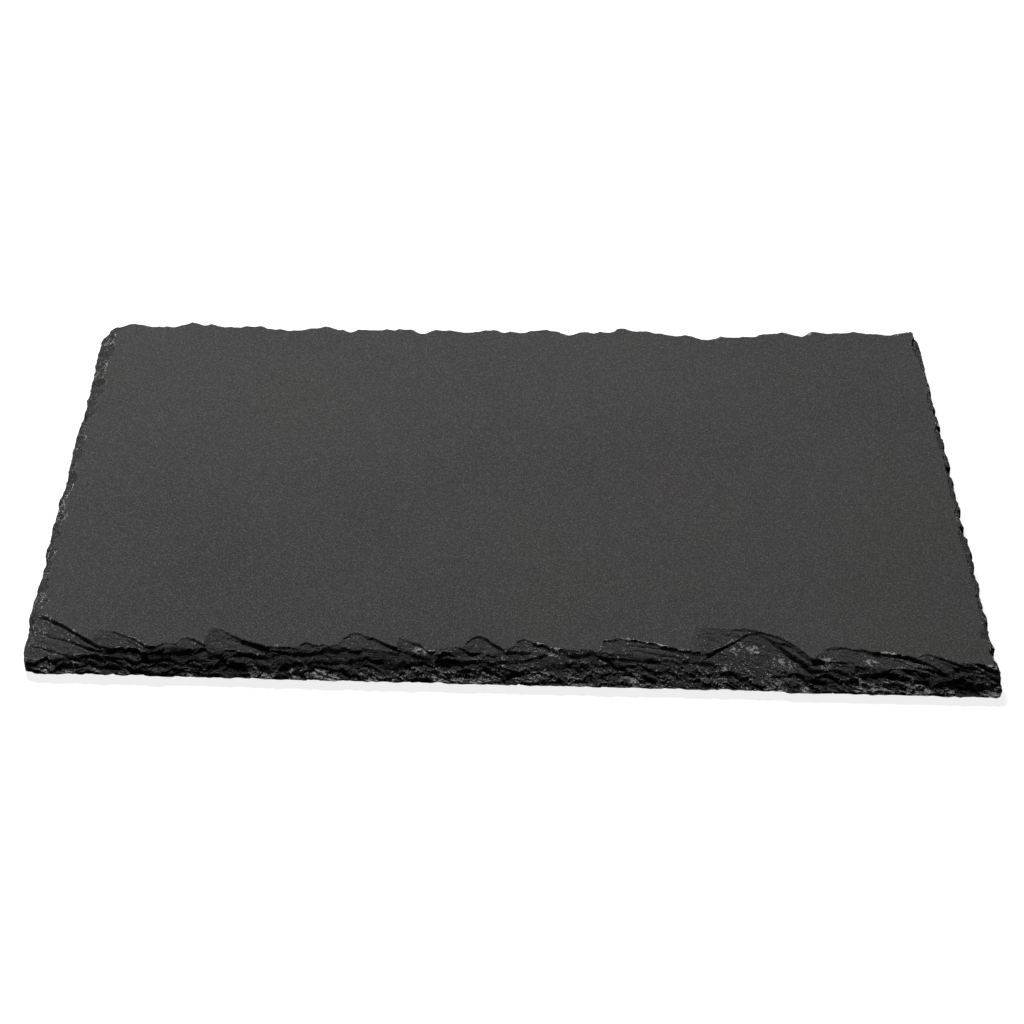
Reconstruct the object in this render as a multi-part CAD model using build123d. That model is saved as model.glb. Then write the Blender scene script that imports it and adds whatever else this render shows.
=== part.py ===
from build123d import *
from collections import namedtuple
import math
import os

# Slate serving board: one hand-dressed slab of riven slate on four stick-on rubber feet.
# +X runs along the board, +Y towards its back edge and +Z up.
# The origin is under the middle of the board, on the plane that its feet stand on.
# All sizes are in millimetres.

# Slab
BOARD_LENGTH = 300.0
BOARD_DEPTH = 200.0
SLATE_THICKNESS = 7.0
OUT_OF_SQUARE = 1.6  # how far each corner is out along its short side, so that no two sides match

# Cleavage sheets of the slate, whose broken edges outcrop as steps round the slab
WALL_HEIGHT = 1.7  # the lowest sheet, which stands up as a wall
TOP_SHEET_THICKNESS = 0.4  # the thin one that shallow scars lift off
MIDDLE_SHEETS = 5
SHEET_UNEVENNESS = 0.6  # how far the middle sheets differ, as a share of their mean thickness

# Dressed edge
FRONT_BEVEL = 7.0  # how far the top face stands in from the lower edge, on each side
RIGHT_BEVEL = 2.4
BACK_BEVEL = 2.6
LEFT_BEVEL = 4.6
ARRIS_UNDERCUT = 0.4  # how far the lower edge is broken in under the wall, and how high up
ARRIS_HEIGHT = 0.5
ARRIS_WANDER = 0.3  # how far the lower edge strays from a straight line, in long waves
ARRIS_WAVELENGTH = 71.0
ARRIS_RAG = 0.7  # how unevenly the lower edge is torn
SHEET_RAG = 1.5  # how unevenly each sheet is torn
LEDGE_LEAST = 0.15  # narrowest step that is left between two sheets
FACET_LENGTH = 3.3  # mean length of one broken facet along the edge
FACET_UNEVENNESS = 0.6  # how far a facet's end strays, in mean lengths

# Small bites of the dressing tool, along all four sides
BITE_PITCH = 10.5
BITE_DRIFT = 0.6  # how far a bite strays from an even pitch, in pitches
FRONT_BITE = 3.2  # how far a bite reaches in past the bevel at the most, on each side
RIGHT_BITE = 2.8
BACK_BITE = 3.2
LEFT_BITE = 3.6
BITE_LEAST_DEPTH = 1.2
BITE_MOST_DEPTH = 6.5
BITE_LEAST_SPREAD = 0.3  # how far a bite runs to each side of its peak, in pitches
BITE_MOST_SPREAD = 0.85

# Form of a flake scar
SCAR_POINT = 1.15  # 1 has straight flanks up to a point, and more is rounder
SCAR_HOLLOW = 0.65  # 1 is a flat slope, and less is steeper at the back of the scar

# Corners knocked off, as the length of the cut along each side
FRONT_LEFT_KNOCK = 2.5
FRONT_RIGHT_KNOCK = 1.6
BACK_RIGHT_KNOCK = 1.8
BACK_LEFT_KNOCK = 4.5
KNOCK_GROWTH = 1.6  # extra cut at the top face

# Large flake scars of the front edge. Start, peak and end run along the edge from the front left
# corner, reach goes in over the top face, and depth is below that face at the edge.
Scar = namedtuple("Scar", "start peak end reach depth")
FRONT_SCARS = (
    Scar(-30.0, -4.0, 23.0, 17.5, 5.6),
    Scar(30.0, 36.0, 48.0, 9.5, 3.0),
    Scar(44.0, 48.5, 58.0, 12.0, 2.4),
    Scar(52.0, 57.0, 76.0, 15.0, 0.9),
    Scar(82.0, 86.0, 95.0, 9.5, 3.5),
    Scar(93.0, 102.0, 117.0, 14.6, 0.9),
    Scar(114.5, 116.0, 127.0, 13.0, 2.0),
    Scar(130.0, 141.0, 151.0, 15.0, 0.9),
    Scar(145.0, 152.0, 166.0, 13.5, 2.4),
    Scar(172.0, 178.0, 212.0, 15.0, 1.4),
    Scar(203.0, 208.0, 232.0, 19.5, 0.6),
    Scar(210.0, 227.0, 239.0, 18.0, 6.6),
    Scar(236.0, 249.0, 274.0, 13.5, 2.6),
    Scar(270.0, 278.0, 291.0, 10.5, 2.0),
)

# Feet, each a moulded rubber disc on its own adhesive disc
FOOT_DIAMETER = 12.0
FOOT_BASE_DIAMETER = 10.8
FOOT_HEIGHT = 1.8
FOOT_RIM_CHAMFER = 0.4
FOOT_INSET = 24.0  # from the lower edge of the slab to the middle of a foot
ADHESIVE_DIAMETER = 11.2
ADHESIVE_THICKNESS = 0.2

UNDERSIDE = FOOT_HEIGHT + ADHESIVE_THICKNESS
TOP_SHEET = MIDDLE_SHEETS + 1


def scatter(first, second=0, third=0):
    """A repeatable number from 0 to 1 that looks random, picked by up to three whole numbers."""
    mixed = math.sin(12.9898 * first + 78.233 * second + 37.719 * third) * 43758.5453
    return mixed - math.floor(mixed)


def spread(low, high, first, second, third):
    """A repeatable number from low to high that looks random."""
    return low + (high - low) * scatter(first, second, third)


def sheet_heads():
    """Heights of the sheets' upper faces over the underside, the wall's first."""
    middle = (SLATE_THICKNESS - WALL_HEIGHT - TOP_SHEET_THICKNESS) / MIDDLE_SHEETS
    heads = [WALL_HEIGHT]
    for sheet in range(1, MIDDLE_SHEETS):
        shift = SHEET_UNEVENNESS * (scatter(sheet) - 0.5)
        heads.append(WALL_HEIGHT + middle * (sheet + shift))
    return heads + [SLATE_THICKNESS - TOP_SHEET_THICKNESS, SLATE_THICKNESS]


def scar_reach(scar, along, drop):
    """How far in a scar reaches at a place along the edge, on a sheet that lies a drop below the top."""
    flank = scar.start if along < scar.peak else scar.end
    away = (along - scar.peak) / (flank - scar.peak)
    if away >= 1 or drop >= scar.depth:
        return 0.0
    return scar.reach * (1 - away**SCAR_POINT) * (1 - drop / scar.depth) ** SCAR_HOLLOW


class Side:
    """One dressed side of the slab, walked anticlockwise as seen from above."""

    def __init__(self, key, start, end, bevel, bite, scars=()):
        self.key = key
        self.start = Vector(*start)
        self.length = (Vector(*end) - self.start).length
        self.direction = (Vector(*end) - self.start).normalized()
        self.inward = Vector(-self.direction.Y, self.direction.X)
        self.bevel = bevel
        self.scars = list(scars) + self.bites(bite)
        self.stations = self.broken_stations()
        self.setbacks = self.torn_sheets()

    def bites(self, most_reach):
        """Small scars at an uneven pitch along the whole side."""
        count = math.ceil(self.length / BITE_PITCH)
        pitch = self.length / count
        found = []
        for number in range(count):
            peak = pitch * (number + 0.5 + BITE_DRIFT * (scatter(self.key, number, 1) - 0.5))
            start = peak - pitch * spread(BITE_LEAST_SPREAD, BITE_MOST_SPREAD, self.key, number, 2)
            end = peak + pitch * spread(BITE_LEAST_SPREAD, BITE_MOST_SPREAD, self.key, number, 3)
            reach = self.bevel + most_reach * scatter(self.key, number, 4)
            depth = spread(BITE_LEAST_DEPTH, BITE_MOST_DEPTH, self.key, number, 5)
            found.append(Scar(start, peak, end, reach, depth))
        return found

    def broken_stations(self):
        """Uneven stations along the side, with both of its ends."""
        count = math.ceil(self.length / FACET_LENGTH)
        shifts = [FACET_UNEVENNESS * (scatter(self.key, number, 6) - 0.5) for number in range(1, count)]
        inner = [self.length * (number + shift) / count for number, shift in enumerate(shifts, 1)]
        return [0.0, *inner, self.length]

    def torn_sheets(self):
        """How far in the foot of each sheet's broken edge lies at every station, the wall's first."""
        phase = 2 * math.pi * scatter(self.key)
        waves = [math.sin(phase + 2 * math.pi * along / ARRIS_WAVELENGTH) for along in self.stations]
        rags = [ARRIS_RAG * scatter(self.key, number, 7) for number in range(len(waves))]
        setbacks = [[ARRIS_WANDER * (1 + wave) + rag for wave, rag in zip(waves, rags)]]
        for sheet in range(1, TOP_SHEET + 1):
            drop = SLATE_THICKNESS - heads[sheet]
            plain = self.bevel * (1 - drop / (SLATE_THICKNESS - WALL_HEIGHT))
            torn = []
            for number, along in enumerate(self.stations):
                reach = max(plain, *(scar_reach(scar, along, drop) for scar in self.scars))
                reach += SHEET_RAG * (scatter(self.key, sheet, number) - 0.5)
                torn.append(max(reach, setbacks[-1][number] + LEDGE_LEAST))
            setbacks.append(torn)
        return setbacks


def knock_off(point, corner, cut):
    """Moves a point of an outline back to the line that cuts a corner off."""
    outward = Vector(math.copysign(1, corner.X), math.copysign(1, corner.Y)).normalized()
    excess = (point - corner).dot(outward) + cut / math.sqrt(2)
    return point - outward * excess if excess > 0 else point


heads = sheet_heads()
half_length = BOARD_LENGTH / 2
half_depth = BOARD_DEPTH / 2
front_left = (-half_length, -half_depth + OUT_OF_SQUARE)
front_right = (half_length, -half_depth - OUT_OF_SQUARE)
back_right = (half_length, half_depth + OUT_OF_SQUARE)
back_left = (-half_length, half_depth - OUT_OF_SQUARE)
sides = (
    Side(1, front_left, front_right, FRONT_BEVEL, FRONT_BITE, FRONT_SCARS),
    Side(2, front_right, back_right, RIGHT_BEVEL, RIGHT_BITE),
    Side(3, back_right, back_left, BACK_BEVEL, BACK_BITE),
    Side(4, back_left, front_left, LEFT_BEVEL, LEFT_BITE),
)
knocks = (
    (front_left, FRONT_LEFT_KNOCK),
    (front_right, FRONT_RIGHT_KNOCK),
    (back_right, BACK_RIGHT_KNOCK),
    (back_left, BACK_LEFT_KNOCK),
)


def sheet_plate(sheet, floor, head, undercut=0.0):
    """One sheet as an upright plate of its torn outline, between two heights over the underside."""
    points = []
    for number, side in enumerate(sides):
        first = sides[number - 1].setbacks[sheet][-1] + undercut
        last = sides[(number + 1) % len(sides)].setbacks[sheet][0] + undercut
        scale = (side.length - first - last) / side.length
        for along, setback in zip(side.stations[:-1], side.setbacks[sheet]):
            point = side.start + side.direction * (first + scale * along)
            point += side.inward * (setback + undercut)
            for corner, cut in knocks:
                growth = KNOCK_GROWTH * sheet / TOP_SHEET
                point = knock_off(point, Vector(*corner), cut + growth + undercut)
            points.append(point)
    outline = Face(Wire.make_polygon(points, close=True))
    return Pos(0, 0, UNDERSIDE + floor) * extrude(outline, head - floor)


def make_slab():
    """The slate: a stack of its cleavage sheets, with the lower edge broken in under the wall."""
    arris = sheet_plate(0, 0.0, ARRIS_HEIGHT, ARRIS_UNDERCUT)
    wall = sheet_plate(0, ARRIS_HEIGHT, WALL_HEIGHT)
    upper = [sheet_plate(sheet, heads[sheet - 1], heads[sheet]) for sheet in range(1, TOP_SHEET + 1)]
    return arris.fuse(wall, *upper)


def make_foot():
    """A rubber disc that tapers to its base, with the lower rim broken."""
    profile = Polyline(
        (0, 0),
        (FOOT_BASE_DIAMETER / 2, 0),
        (FOOT_DIAMETER / 2, FOOT_HEIGHT),
        (0, FOOT_HEIGHT),
        close=True,
    )
    disc = revolve(Plane.XZ * make_face(profile), Axis.Z)
    rim = disc.edges().filter_by(GeomType.CIRCLE).sort_by(Axis.Z)[0]
    return chamfer(rim, FOOT_RIM_CHAMFER)


def make_adhesive():
    """The thin adhesive disc between a foot and the slate."""
    align = (Align.CENTER, Align.CENTER, Align.MIN)
    disc = Cylinder(ADHESIVE_DIAMETER / 2, ADHESIVE_THICKNESS, align=align)
    return Pos(0, 0, FOOT_HEIGHT) * disc


foot_x = half_length - FOOT_INSET
foot_y = half_depth - FOOT_INSET
foot_places = {
    "front_left": (-foot_x, -foot_y),
    "front_right": (foot_x, -foot_y),
    "back_right": (foot_x, foot_y),
    "back_left": (-foot_x, foot_y),
}

nodes = {"slate_slab": make_slab()}
for place, (x, y) in foot_places.items():
    nodes["foot_" + place] = Pos(x, y, 0) * make_foot()
    nodes["adhesive_" + place] = Pos(x, y, 0) * make_adhesive()

os.makedirs("parts", exist_ok=True)
for name, shape in nodes.items():
    export_step(shape, f"parts/{name}.step")
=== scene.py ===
import math
from collections import namedtuple

import bmesh
import bpy
import numpy as np
from mathutils import Matrix, Vector


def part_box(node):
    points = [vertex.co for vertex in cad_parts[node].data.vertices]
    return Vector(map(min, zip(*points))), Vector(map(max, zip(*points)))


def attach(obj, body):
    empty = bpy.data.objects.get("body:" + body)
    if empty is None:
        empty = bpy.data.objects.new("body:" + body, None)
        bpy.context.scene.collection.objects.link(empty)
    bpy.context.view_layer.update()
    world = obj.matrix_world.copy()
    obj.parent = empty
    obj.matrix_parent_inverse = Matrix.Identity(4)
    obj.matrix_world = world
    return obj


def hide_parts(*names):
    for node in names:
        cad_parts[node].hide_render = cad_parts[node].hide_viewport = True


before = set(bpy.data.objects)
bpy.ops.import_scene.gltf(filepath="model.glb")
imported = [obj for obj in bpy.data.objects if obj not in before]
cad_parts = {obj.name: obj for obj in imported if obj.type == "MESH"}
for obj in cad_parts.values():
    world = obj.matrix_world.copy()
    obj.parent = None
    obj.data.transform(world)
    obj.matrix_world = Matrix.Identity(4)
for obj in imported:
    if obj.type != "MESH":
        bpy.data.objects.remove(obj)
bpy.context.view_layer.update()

# Slate slab
# One thin slab of natural slate, split along its cleavage, so that both faces are riven and nearly flat.
# Its four edges were dressed by hand from the top face, which broke them away in flakes, sheet by sheet.

# The sizes of the slab are in millimetres, and its heights are taken from its underside.
MM = 0.001
slab_low, slab_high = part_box("slate_slab")
THICKNESS = (slab_high[2] - slab_low[2]) / MM
UNDERSIDE = slab_low[2] / MM
LENGTH = 300.0
DEPTH = 200.0
OUT_OF_SQUARE = 1.6  # how far each right corner lies outside the true oblong, and each left one inside it

# The plain block is cut finely near its edges: into rings on top and below, and into parts along each side.
TOP_RINGS = 56
RING_STEP = 0.15
WALL_CUTS = 5
BASE_RINGS = (0.5, 1.0, 2.5)
FRONT_PARTS = (24, 30)  # 24 parts, and each of these cut again into 30
BACK_PARTS = (20, 14)
SIDE_PARTS = (16, 15)
INNER_MARGIN = 1.0
TINY = 1e-4


def pick_edges(test):
    """Selects the edges of the piece in edit mode whose middle and direction pass a test."""
    shape = bmesh.from_edit_mesh(bpy.context.edit_object.data)
    bpy.ops.mesh.select_all(action="DESELECT")
    for line in shape.edges:
        first, second = line.verts[0].co, line.verts[1].co
        line.select_set(test((first + second) / 2, second - first))
    bmesh.update_edit_mesh(bpy.context.edit_object.data)


def pick_face(height):
    """Selects the one large level face that lies at a height."""
    shape = bmesh.from_edit_mesh(bpy.context.edit_object.data)
    bpy.ops.mesh.select_all(action="DESELECT")
    at_height = [face for face in shape.faces if abs(face.calc_center_median().z - height) < TINY]
    max(at_height, key=lambda face: face.calc_area()).select_set(True)
    bmesh.update_edit_mesh(bpy.context.edit_object.data)


def cut_in_parts(parts, test):
    """Divides the picked edges, and the strips between them, into a product of part counts."""
    for count in parts:
        pick_edges(test)
        bpy.ops.mesh.subdivide(number_cuts=count - 1)


bpy.ops.object.select_all(action="DESELECT")
bpy.ops.mesh.primitive_cube_add(size=1.0)
slab = bpy.context.active_object
slab.name = "riven_slab"
bpy.ops.object.mode_set(mode="EDIT")
bpy.ops.mesh.select_mode(type="EDGE")
bpy.ops.transform.resize(value=(LENGTH, DEPTH, THICKNESS))
bpy.ops.transform.translate(value=(0, 0, THICKNESS / 2))
pick_edges(lambda middle, way: abs(way.z) > TINY)
bpy.ops.mesh.subdivide(number_cuts=WALL_CUTS)
bpy.ops.mesh.select_mode(type="FACE")
pick_face(THICKNESS)
for count in range(TOP_RINGS):
    bpy.ops.mesh.inset(thickness=RING_STEP, depth=0)
pick_face(0)
for step in BASE_RINGS:
    bpy.ops.mesh.inset(thickness=step, depth=0)
bpy.ops.mesh.select_mode(type="EDGE")
cut_in_parts(FRONT_PARTS, lambda middle, way: middle.y < 0 and abs(way.x) > TINY > abs(way.y))
cut_in_parts(BACK_PARTS, lambda middle, way: middle.y > 0 and abs(way.x) > TINY > abs(way.y))
inner_x = LENGTH / 2 - TOP_RINGS * RING_STEP - INNER_MARGIN
cut_in_parts(SIDE_PARTS, lambda middle, way: middle.x < -inner_x and abs(way.y) > TINY > abs(way.x))
cut_in_parts(SIDE_PARTS, lambda middle, way: middle.x > inner_x and abs(way.y) > TINY > abs(way.x))
bpy.ops.mesh.select_mode(type="FACE")
for face_height in (THICKNESS, 0):
    pick_face(face_height)
    bpy.ops.mesh.poke()
bpy.ops.object.mode_set(mode="OBJECT")

# How the sides were dressed. Places along a side run from its start, anticlockwise as seen from above.
# A scar is a thin flake torn off the top face: its start, peak and end along the side, its reach in from
# the edge, its drop at first and further on, how full its last flank is, and how many ledges it has.
Scar = namedtuple("Scar", "start peak end reach shallow deep fullness ledges")
FRONT_SCARS = (
    Scar(20, 23, 55, 15.0, 0.05, 1.0, 1.15, 2),
    Scar(45, 50, 65, 12.5, 0.08, 1.2, 1.15, 1),
    Scar(54, 58, 88, 16.6, 0.05, 1.8, 1.15, 2),
    Scar(81, 87, 106, 10.0, 0.1, 1.4, 1.15, 2),
    Scar(93, 102.5, 128, 15.9, 0.08, 1.2, 1.15, 1),
    Scar(114, 115.5, 136, 14.5, 0.1, 1.6, 1.15, 1),
    Scar(132, 140, 156, 15.8, 0.08, 1.3, 1.15, 1),
    Scar(147, 154, 178, 15.0, 0.08, 1.6, 1.15, 2),
    Scar(176, 179, 214, 16.2, 0.4, 0.8, 3.0, 3),
    Scar(203, 208, 246, 22.6, 0.1, 0.5, 4.0, 2),
    Scar(239, 249, 289, 14.2, 0.1, 1.3, 2.5, 2),
    Scar(270, 278, 298, 11.5, 0.1, 1.2, 1.3, 2),
)

# A chip is one broad smooth break: its start, peak, end and reach, its drop at the back, its height at the
# edge, and how steeply its face climbs along the side before and after its peak.
Chip = namedtuple("Chip", "start peak end reach drop sill first_climb last_climb")
FRONT_CHIPS = (
    Chip(-30, -2, 33.5, 25.0, 0.8, 3.2, 0, 0.07),
    Chip(-30, -2, 38, 16.5, 1.5, 2.6, 0, 0.05),
    Chip(-30, -2, 27, 11.0, 2.5, 2.4, 0, 0.04),
    Chip(200, 226, 247, 21.2, 0.9, 1.2, 0.13, 0.05),
)
LEFT_CHIPS = (
    Chip(-6, 5, 15, 7.0, 0.5, 4.6, 0, 0),
    Chip(176, 202, 230, 7.0, 0.6, 3.2, 0, 0),
)

# A notch is a short chip that ends abruptly: the place of that end, its length and its reach.
NOTCH_TIP = 0.4
NOTCH_DROP = 3.0
NOTCH_SILL = 0.6
RIGHT_NOTCHES = (
    (15, 6, 2.8), (30, 7, 2.0), (43, 6, 1.4), (65, 7, 1.6), (80, 6, 2.8), (89, 5, 1.5), (98, 6, 1.5),
    (105, 5, 1.8), (114, 7, 3.0), (127, 6, 1.6), (138, 7, 2.0), (149, 6, 1.6), (160, 7, 1.8), (172, 6, 1.5),
)
RIGHT_CHIPS = tuple(
    Chip(end - length, end - NOTCH_TIP, end + NOTCH_TIP, reach, NOTCH_DROP, NOTCH_SILL, 0, 0)
    for end, length, reach in RIGHT_NOTCHES
) + (Chip(193, 198, 206, 3.0, 1.5, 1.0, 0, 0),)

# Rows of small blows dressed the front bevel from its back to its edge: how many, their least and most
# reach as shares of the bevel, their least and most width, and how deep the heaviest went.
Blows = namedtuple("Blows", "count near far narrow wide deep")
FRONT_BLOWS = (
    Blows(30, 0.84, 1.24, 9, 24, 0.3),
    Blows(50, 0.62, 0.97, 8, 20, 1.1),
    Blows(70, 0.36, 0.70, 5, 15, 1.0),
    Blows(90, 0.12, 0.44, 3, 9, 0.8),
)

# Each side has its start, its heading, the way inward, its run and the band near it that is broken. Its
# bevel is given at places along it. Flakes of some depth and pitch bite its outline and lean one way.
# It may wander out of line at places, and show sheets whose flakes and grooves have a depth. Blows, scars,
# chips and a number of tilted skims broke it further, and scuffs and dust left it pale.
Side = namedtuple(
    "Side",
    "name start heading inward run band bevel lean bite pitch "
    "wander flake groove blows scars chips skims tilt scuff dust",
    defaults=(((0, 0),), 0, 0, (), (), (), 0, 0, 0, 0),
)
SIDES = (
    Side(
        "front", start=(-LENGTH / 2, -DEPTH / 2), heading=(1, 0), inward=(0, 1), run=LENGTH, band=24.0,
        bevel=(
            (0, 8.0), (30, 7.4), (60, 8.6), (120, 9.0), (165, 10.4),
            (200, 10.8), (240, 10.0), (255, 8.4), (300, 8.0),
        ),
        lean=0.15, bite=0.7, pitch=11.0, blows=FRONT_BLOWS, scars=FRONT_SCARS, chips=FRONT_CHIPS,
    ),
    Side(
        "right", start=(LENGTH / 2, -DEPTH / 2), heading=(0, 1), inward=(-1, 0), run=DEPTH, band=8.0,
        bevel=((0, 2.4), (30, 1.4), (200, 0.9)),
        lean=0.75, bite=2.0, pitch=7.5, flake=1.19, groove=0.2, chips=RIGHT_CHIPS,
        skims=8, scuff=0.4, dust=0.3,
    ),
    Side(
        "back", start=(LENGTH / 2, DEPTH / 2), heading=(-1, 0), inward=(0, -1), run=LENGTH, band=9.0,
        bevel=((0, 1.0),), lean=0.45, bite=1.6, pitch=14.0, flake=3.74, scuff=0.3, dust=0.1,
        wander=(
            (0, 3.5), (15, 3.4), (45, 1.8), (58, -0.7), (72, -2.6), (87, -2), (102, 1.2), (131, 1.4),
            (161, -0.7), (176, -2), (190, -0.7), (220, -0.7), (237, 1.4), (265, 2), (282, 0), (300, 0.7),
        ),
    ),
    Side(
        "left", start=(-LENGTH / 2, DEPTH / 2), heading=(0, -1), inward=(1, 0), run=DEPTH, band=10.0,
        bevel=((0, 4.0), (60, 3.6), (85, 1.6), (170, 1.6), (200, 3.0)),
        lean=0.4, bite=1.2, pitch=12.0, flake=1.7, groove=0.1, chips=LEFT_CHIPS,
        skims=38, tilt=0.1, scuff=0.95, dust=0.2,
    ),
)

# Numbers that scatter whole numbers at random, and do so in the same way each time.
KEY_STRIDE = 12.9898
SEED_STRIDE = 78.233
SCATTER_START = 4.1
SCATTER = 43758.5453
CELL_KEYS = (1.0, 57.0, 113.0)
SEED_SHIFT = 17.13


def chance(key, seed):
    """A random number from 0 to 1 for each whole number."""
    return np.sin(key * KEY_STRIDE + seed * SEED_STRIDE + SCATTER_START) * SCATTER % 1.0


def eased(part):
    """A share from 0 to 1 that starts and ends gently."""
    return part * part * (3 - 2 * part)


def rough(points, size, seed):
    """Smooth random relief from -1 to 1, with hills about one size across."""
    spot = points / size + seed * SEED_SHIFT
    cell = np.floor(spot)
    part = eased(spot - cell)
    total = np.zeros(len(points))
    for corner in np.ndindex(2, 2, 2):
        weight = np.prod(np.where(corner, part, 1 - part), axis=1)
        total += weight * chance((cell + corner) @ CELL_KEYS, seed)
    return total * 2 - 1


FAR_AWAY = 9.0


def plates(points, size, seed):
    """Random level plates from -1 to 1, each about one size across, with sharp borders."""
    spot = points / size + seed * SEED_SHIFT
    cell = np.floor(spot)
    nearest = np.full(len(points), FAR_AWAY)
    found = np.zeros(len(points))
    for step in np.ndindex(3, 3):
        neighbour = cell + np.array(step) - 1
        key = neighbour @ CELL_KEYS[:2]
        seat = neighbour + np.stack([chance(key, seed + 0.1), chance(key, seed + 0.2)], axis=1)
        away = np.sum((spot - seat) ** 2, axis=1)
        found = np.where(away < nearest, chance(key, seed + 0.3), found)
        nearest = np.minimum(away, nearest)
    return found * 2 - 1


def jag(along, length, seed):
    """A random broken line from -1 to 1 along an edge, with a corner every length."""
    cell = np.floor(along / length)
    first, second = chance(cell, seed), chance(cell + 1, seed)
    return (first + (second - first) * (along / length - cell)) * 2 - 1


def wave(along, length, seed):
    """A random smooth line from -1 to 1 along an edge, with a bend every length."""
    cell = np.floor(along / length)
    first, second = chance(cell, seed), chance(cell + 1, seed)
    return (first + (second - first) * eased(along / length - cell)) * 2 - 1


def add_up(kind, along, lines, seed):
    """The sum of random lines of one kind, each given by its depth, its length and its own seed."""
    return sum(depth * kind(along, length, seed + own) for depth, length, own in lines)


def given_at(places, along):
    """The value along an edge of something that is given at places."""
    return np.interp(along, *zip(*places))


FIRST_FLANK = 2.2
LAST_FLANK = 1.15


def petal(along, start, peak, end, first=FIRST_FLANK, last=LAST_FLANK):
    """The outline of a flake along the edge: 0 at its ends and 1 at its peak. Higher flanks are fuller."""
    rise = np.clip((peak - along) / (peak - start), 0, 1) ** first
    fall = np.clip((along - peak) / (end - peak), 0, 1) ** last
    return 1 - rise - fall


FLAKE_OVERLAP = 1.3
FLAKE_STRAY = 0.9
LEAN_STRAY = 0.4


def flakes(along, run, pitch, lean, seed):
    """A row of overlapping flakes along an edge, each 0 to 1 deep, which lean one way or the other."""
    deepest = np.zeros(len(along))
    for flake in range(-1, int(run / pitch) + 2):
        peak = (flake + FLAKE_STRAY * (chance(flake, seed) - 0.5)) * pitch
        span = FLAKE_OVERLAP * pitch * (0.5 + chance(flake, seed + 0.1))
        before = span * (lean + LEAN_STRAY * (chance(flake, seed + 0.2) - 0.5))
        reach = chance(flake, seed + 0.3)
        deepest = np.maximum(deepest, reach * petal(along, peak - before, peak, peak - before + span))
    return deepest


GROOVE_LEAST = 0.3
GROOVE_SPREAD = 0.85


def strike(stone, bed, edge, across, riser=0.2, groove=0.0):
    """Lowers the stone to a bed outside a torn line, with a riser there and a groove at its foot."""
    kept = np.clip((across - edge) / riser + 0.5, 0, 1)
    wide = max(riser, GROOVE_LEAST)
    foot = np.exp(-(((edge - across - wide) / (GROOVE_SPREAD * wide)) ** 2))
    return np.minimum(stone, bed - groove * foot) * (1 - kept) + stone * kept


# The wider band of each side is drawn out of the rings, which crowd towards the edge.
RING_CROWDING = 1.2
mesh = slab.data
block = np.empty(len(mesh.vertices) * 3)
mesh.vertices.foreach_get("co", block)
block = block.reshape(-1, 3)
x, y, z = block.T
border = {
    "front": y + DEPTH / 2,
    "right": LENGTH / 2 - x,
    "back": DEPTH / 2 - y,
    "left": x + LENGTH / 2,
}
on_top = z > THICKNESS - TINY
on_base = z < TINY
border_wide = np.where(on_top, TOP_RINGS * RING_STEP, sum(BASE_RINGS))
ring = np.minimum(np.minimum.reduce(list(border.values())), border_wide)
share = np.where(on_top | on_base, ring / border_wide, 0)
inset = {side.name: np.where(on_base, ring, side.band * share ** RING_CROWDING) for side in SIDES}
plan_x = (x + LENGTH / 2 - ring) * (LENGTH - inset["left"] - inset["right"]) / (LENGTH - 2 * ring)
plan_x += inset["left"] - LENGTH / 2
plan_y = (y + DEPTH / 2 - ring) * (DEPTH - inset["front"] - inset["back"]) / (DEPTH - 2 * ring)
plan_y += inset["front"] - DEPTH / 2


def measured(side, way):
    """How far each vertex lies from the start of a side, measured one way."""
    return (plan_x - side.start[0]) * way[0] + (plan_y - side.start[1]) * way[1]


# The outline is bitten by flakes, wanders a little and is ragged.
BITE_SEED = 40
BORDER_WAVE = 0.25
BORDER_WAVE_LENGTH = 37.0
BORDER_WAVE_SEED = 50
BORDER_JAG = 0.22
BORDER_JAG_LENGTH = 1.9
BORDER_JAG_SEED = 60
CORNER_EASE = 6.0
FADE_POWER = 1.6
fade = (1 - share) ** FADE_POWER
for number, side in enumerate(SIDES):
    along = measured(side, side.heading)
    own = (border[side.name] <= ring + TINY) * fade
    own *= np.clip(np.minimum(along, side.run - along) / CORNER_EASE, 0, 1)
    bitten = side.bite * flakes(along, side.run, side.pitch, side.lean, BITE_SEED + number)
    bitten += BORDER_WAVE * (1 + wave(along, BORDER_WAVE_LENGTH, BORDER_WAVE_SEED + number))
    bitten += BORDER_JAG * jag(along, BORDER_JAG_LENGTH, BORDER_JAG_SEED + number)
    bitten -= given_at(side.wander, along)
    plan_x += own * bitten * side.inward[0]
    plan_y += own * bitten * side.inward[1]

# The four corners are knocked off by different amounts, and more at the top than at the base.
KNOCKS = {(-1, -1): 3.8, (1, -1): 1.4, (1, 1): 0.7, (-1, 1): 5.0}
KNOCK_AT_TOP = 0.35
KNOCK_RELIEF = 0.15
KNOCK_GRAIN = 3.0
KNOCK_SEED = 7
KNOCK_SPREAD = 1.6
for (way_x, way_y), knock in KNOCKS.items():
    from_x = LENGTH / 2 - way_x * plan_x
    from_y = DEPTH / 2 - way_y * plan_y
    cut = knock * (1 + KNOCK_AT_TOP * z / THICKNESS)
    cut = cut * (1 + KNOCK_RELIEF * rough(block, KNOCK_GRAIN, KNOCK_SEED))
    shift = np.clip(cut / 2 * (1 - (from_x + from_y) / (KNOCK_SPREAD * cut)), 0, None)
    plan_x -= way_x * shift
    plan_y -= way_y * shift

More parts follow.
